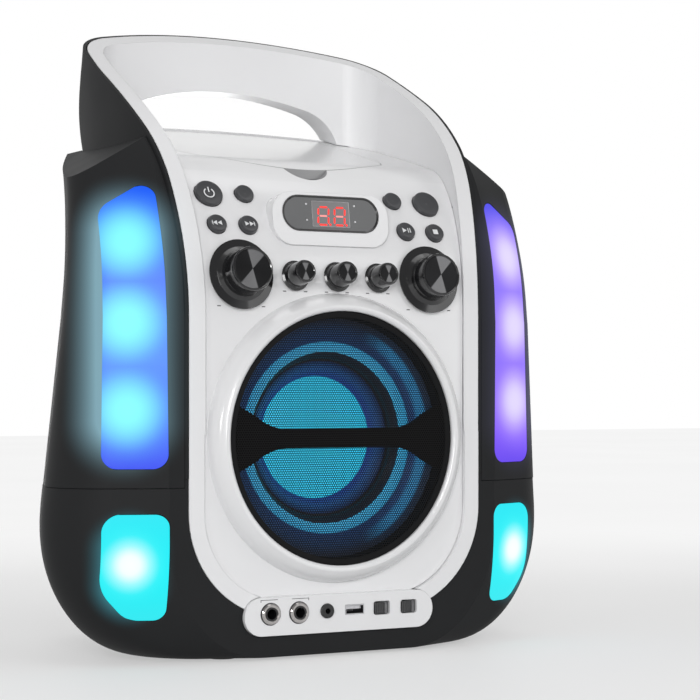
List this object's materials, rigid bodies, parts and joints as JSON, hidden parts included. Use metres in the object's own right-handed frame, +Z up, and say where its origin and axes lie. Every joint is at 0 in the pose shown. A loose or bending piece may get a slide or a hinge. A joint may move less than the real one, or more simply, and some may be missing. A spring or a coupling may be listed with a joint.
{
  "type": "karaoke machine with disc player",
  "caption": "Portable karaoke machine: round lit speaker under a control arc, disc player under a hinged lid, raised carry handle, light-show side lenses and microphone sockets.",
  "frame": {"origin": "on the floor, under the middle of the overall box", "axes": "+Z up, the front with the speaker faces -Y, +X to the right as seen from the front"},
  "size_m": [0.3528, 0.2038, 0.4148],
  "materials": {
    "black_case": "satin moulded, fine grain",
    "white_case": "glossy moulded",
    "diffuser": "milky, lit from behind",
    "grille_mesh": "fine perforated, black",
    "black_trim": "satin",
    "driver_frame": "pressed and painted",
    "ferrite": "dull ferrite with plated plates",
    "surround": "soft, dull",
    "cone": "pressed pulp",
    "steel": "plated",
    "screw": "blackened",
    "circuit_board": "solder mask",
    "knob": "glossy, spun face",
    "button": "satin",
    "window": "smoked",
    "display": "dark red digits",
    "jack": "chromed collar",
    "socket_plastic": "moulded",
    "pad": "dull",
    "drive_plastic": "satin"
  },
  "bodies": {
    "case": {"lower_housing": "black_case", "rear_cover": "black_case", "side_cover_left": "black_case", "side_cover_right": "black_case", "handle_shell": "black_case", "handle_frame": "white_case", "front_panel": "white_case", "upper_lens_left": "diffuser", "upper_lens_right": "diffuser", "lower_lens_left": "diffuser", "lower_lens_right": "diffuser", "light_ring": "diffuser", "speaker_grille": "grille_mesh", "speaker_crossbar": "black_trim", "speaker_baffle": "black_trim", "speaker_basket": "driver_frame", "speaker_magnet": "ferrite", "speaker_surround": "surround", "speaker_cone": "cone", "dust_cap": "cone", "lid_hinge_pin": "steel", "disc_well": "drive_plastic", "drive_chassis": "driver_frame", "spindle_motor": "steel", "sled_rails": "steel", "control_board": "circuit_board", "socket_board": "circuit_board", "main_board": "circuit_board", "amplifier_board": "circuit_board", "led_board_left": "circuit_board", "led_board_right": "circuit_board", "potentiometers": "steel", "display_window": "window", "display_module": "display", "mic_jacks": "jack", "aux_jack": "socket_plastic", "usb_socket": "steel", "switch_bodies": "steel", "dc_inlet": "socket_plastic", "feet": "pad", "case_screws": "screw"},
    "lid": {"disc_lid": "white_case"},
    "spindle": {"spindle_hub": "drive_plastic", "spindle_shaft": "steel"},
    "sled": {"laser_sled": "drive_plastic"},
    "mic_volume_knob_body": {"mic_volume_knob": "knob"},
    "echo_knob_body": {"echo_knob": "knob"},
    "talk_over_knob_body": {"talk_over_knob": "knob"},
    "balance_knob_body": {"balance_knob": "knob"},
    "master_volume_knob_body": {"master_volume_knob": "knob"},
    "power_button_body": {"power_button": "button"},
    "repeat_button_body": {"repeat_button": "button"},
    "program_button_body": {"program_button": "button"},
    "light_show_button_body": {"light_show_button": "button"},
    "previous_button_body": {"previous_button": "button"},
    "next_button_body": {"next_button": "button"},
    "play_button_body": {"play_button": "button"},
    "stop_button_body": {"stop_button": "button"},
    "function_switch_body": {"function_switch": "black_trim"},
    "light_switch_body": {"light_switch": "black_trim"}
  },
  "joints": [
    {"name": "lid_hinge", "type": "hinge", "parent": "case", "child": "lid", "pos_m": [0, 0.0833, 0.3413], "axis": [-1, 0, 0], "range_deg": [0, 45]},
    {"name": "spindle_spin", "type": "hinge", "parent": "case", "child": "spindle", "pos_m": [0, 0.0252, 0.32026], "axis": [0, -0.2554, 0.9668], "continuous": true},
    {"name": "sled_slide", "type": "slide", "parent": "case", "child": "sled", "axis": [0, -0.9668, -0.2554], "range_m": [0, 0.03]},
    {"name": "mic_volume_knob_turn", "type": "hinge", "parent": "case", "child": "mic_volume_knob_body", "pos_m": [-0.0679, -0.08199, 0.2385], "axis": [0, -0.9853, 0.1708], "range_deg": [-257, 43]},
    {"name": "echo_knob_turn", "type": "hinge", "parent": "case", "child": "echo_knob_body", "pos_m": [-0.03, -0.08199, 0.2385], "axis": [0, -0.9853, 0.1708], "range_deg": [-257, 43]},
    {"name": "talk_over_knob_turn", "type": "hinge", "parent": "case", "child": "talk_over_knob_body", "pos_m": [0, -0.08199, 0.2385], "axis": [0, -0.9853, 0.1708], "range_deg": [-257, 43]},
    {"name": "balance_knob_turn", "type": "hinge", "parent": "case", "child": "balance_knob_body", "pos_m": [0.03, -0.08199, 0.2385], "axis": [0, -0.9853, 0.1708], "range_deg": [-257, 43]},
    {"name": "master_volume_knob_turn", "type": "hinge", "parent": "case", "child": "master_volume_knob_body", "pos_m": [0.0679, -0.08199, 0.2385], "axis": [0, -0.9853, 0.1708], "range_deg": [-257, 43]},
    {"name": "power_button_press", "type": "slide", "parent": "case", "child": "power_button_body", "axis": [0, 0.8572, -0.515], "range_m": [0, 0.0012], "stiffness_N_per_m": 600, "springref_m": -0.0012},
    {"name": "repeat_button_press", "type": "slide", "parent": "case", "child": "repeat_button_body", "axis": [0, 0.8572, -0.515], "range_m": [0, 0.0012], "stiffness_N_per_m": 600, "springref_m": -0.0012},
    {"name": "program_button_press", "type": "slide", "parent": "case", "child": "program_button_body", "axis": [0, 0.8572, -0.515], "range_m": [0, 0.0012], "stiffness_N_per_m": 600, "springref_m": -0.0012},
    {"name": "light_show_button_press", "type": "slide", "parent": "case", "child": "light_show_button_body", "axis": [0, 0.8572, -0.515], "range_m": [0, 0.0012], "stiffness_N_per_m": 600, "springref_m": -0.0012},
    {"name": "previous_button_press", "type": "slide", "parent": "case", "child": "previous_button_body", "axis": [0, 0.8572, -0.515], "range_m": [0, 0.0012], "stiffness_N_per_m": 600, "springref_m": -0.0012},
    {"name": "next_button_press", "type": "slide", "parent": "case", "child": "next_button_body", "axis": [0, 0.8572, -0.515], "range_m": [0, 0.0012], "stiffness_N_per_m": 600, "springref_m": -0.0012},
    {"name": "play_button_press", "type": "slide", "parent": "case", "child": "play_button_body", "axis": [0, 0.8572, -0.515], "range_m": [0, 0.0012], "stiffness_N_per_m": 600, "springref_m": -0.0012},
    {"name": "stop_button_press", "type": "slide", "parent": "case", "child": "stop_button_body", "axis": [0, 0.8572, -0.515], "range_m": [0, 0.0012], "stiffness_N_per_m": 600, "springref_m": -0.0012},
    {"name": "function_switch_slide", "type": "slide", "parent": "case", "child": "function_switch_body", "axis": [1, 0, 0], "range_m": [0, 0.004]},
    {"name": "light_switch_slide", "type": "slide", "parent": "case", "child": "light_switch_body", "axis": [1, 0, 0], "range_m": [0, 0.004]}
  ]
}
